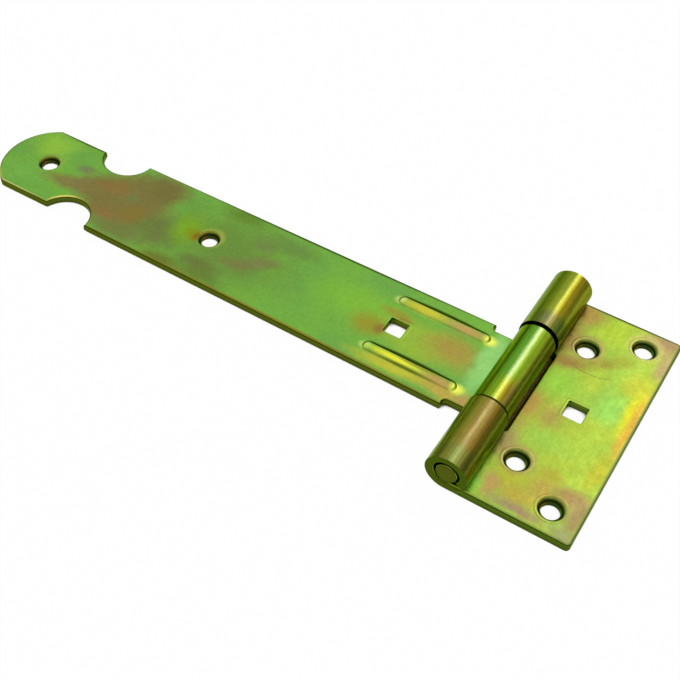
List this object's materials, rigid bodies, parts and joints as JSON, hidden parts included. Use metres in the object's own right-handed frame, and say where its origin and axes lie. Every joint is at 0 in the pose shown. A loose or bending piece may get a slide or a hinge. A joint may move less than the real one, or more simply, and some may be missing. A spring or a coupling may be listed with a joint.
{
  "type": "tee hinge",
  "caption": "Tee hinge: a long strap with a round head and a rectangular butt plate rolled round a plain pin, with countersunk screw holes and square carriage bolt holes.",
  "frame": {"origin": "on the flat back of the strap leaf, straight under the middle of the pin", "axes": "+X from the pin towards the butt plate's outer edge, so the strap lies towards -X; +Y along the pin; +Z out of the front face, the side the barrel stands on"},
  "size_m": [0.253, 0.092, 0.0142],
  "materials": {
    "plate_zinc": "yellow chromated zinc plating on sheet steel",
    "strap_zinc": "yellow chromated zinc plating on sheet steel",
    "pin_zinc": "yellow chromated zinc plating on steel rod"
  },
  "bodies": {
    "plate": {"butt_plate": "plate_zinc", "hinge_pin": "pin_zinc"},
    "strap": {"strap_leaf": "strap_zinc"}
  },
  "joints": [
    {"name": "strap_swing", "type": "hinge", "parent": "plate", "child": "strap", "pos_m": [0, 0, 0.0066], "axis": [0, 1, 0], "range_deg": [-90, 185]}
  ]
}
